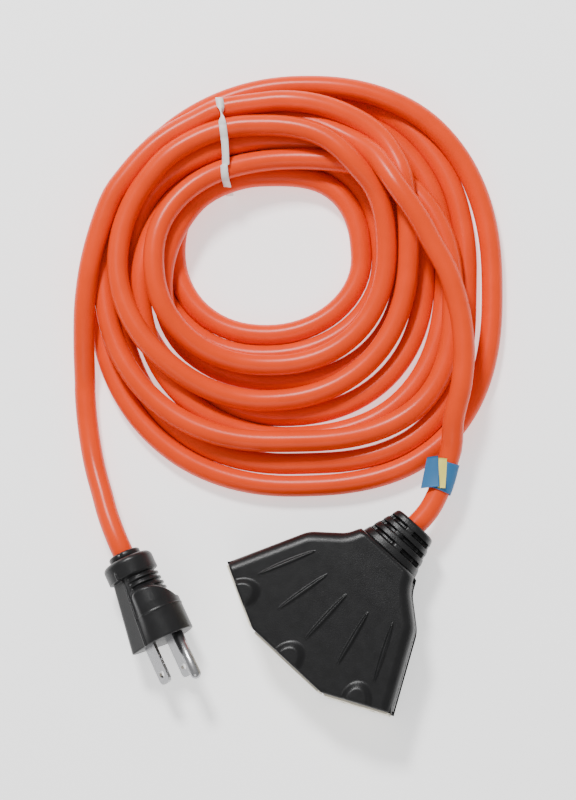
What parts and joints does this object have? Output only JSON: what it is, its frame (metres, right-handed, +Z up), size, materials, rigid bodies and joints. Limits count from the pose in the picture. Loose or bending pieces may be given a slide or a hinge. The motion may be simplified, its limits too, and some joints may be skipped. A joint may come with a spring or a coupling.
{
  "type": "extension cord",
  "caption": "Coiled orange extension cord with a fan-shaped black outlet block and a moulded three-pin plug.",
  "frame": {"origin": "centre of the outlet block's bounding box, on the surface that it lies on", "axes": "+Y from the outlets towards the block's cord, +Z up, +X to the right seen from the outlets"},
  "size_m": [0.2526, 0.2545, 0.0298],
  "materials": {
    "block_pvc": "satin, fine moulded grain",
    "ivory_plastic": "satin",
    "core_plastic": "matt",
    "copper": "bright",
    "brass": "bright",
    "tinned": "satin",
    "wire_black": "satin",
    "wire_white": "satin",
    "wire_green": "satin",
    "cord_orange": "satin gloss",
    "tie_white": "satin",
    "label_blue": "coated",
    "plug_pvc": "matt, fine grain",
    "nickel": "nickel plated"
  },
  "bodies": {
    "root": {"block_jacket": "block_pvc", "block_strain_relief": "block_pvc", "outlet_face_left": "ivory_plastic", "outlet_face_centre": "ivory_plastic", "outlet_face_right": "ivory_plastic", "core_tray": "core_plastic", "core_divider": "core_plastic", "core_cover": "core_plastic", "bus_bar_hot": "copper", "bus_bar_neutral": "copper", "bus_bar_ground": "brass", "contact_hot_left": "copper", "contact_hot_centre": "copper", "contact_hot_right": "copper", "contact_neutral_left": "copper", "contact_neutral_centre": "copper", "contact_neutral_right": "copper", "ground_sleeve_left": "brass", "ground_sleeve_centre": "brass", "ground_sleeve_right": "brass", "block_crimp_hot": "tinned", "block_crimp_neutral": "tinned", "block_crimp_ground": "tinned", "block_wire_hot": "wire_black", "block_wire_neutral": "wire_white", "block_wire_ground": "wire_green", "cord_lead_block": "cord_orange", "cord_coil": "cord_orange", "cord_lead_plug": "cord_orange", "coil_tie": "tie_white", "label_band": "label_blue", "label_flag": "label_blue", "plug_body": "plug_pvc", "plug_collar": "plug_pvc", "plug_bridge": "core_plastic", "plug_blade_hot": "nickel", "plug_blade_neutral": "nickel", "plug_ground_pin": "nickel", "plug_crimp_hot": "tinned", "plug_crimp_neutral": "tinned", "plug_crimp_ground": "tinned", "plug_wire_hot": "wire_black", "plug_wire_neutral": "wire_white", "plug_wire_ground": "wire_green"}
  },
  "joints": []
}
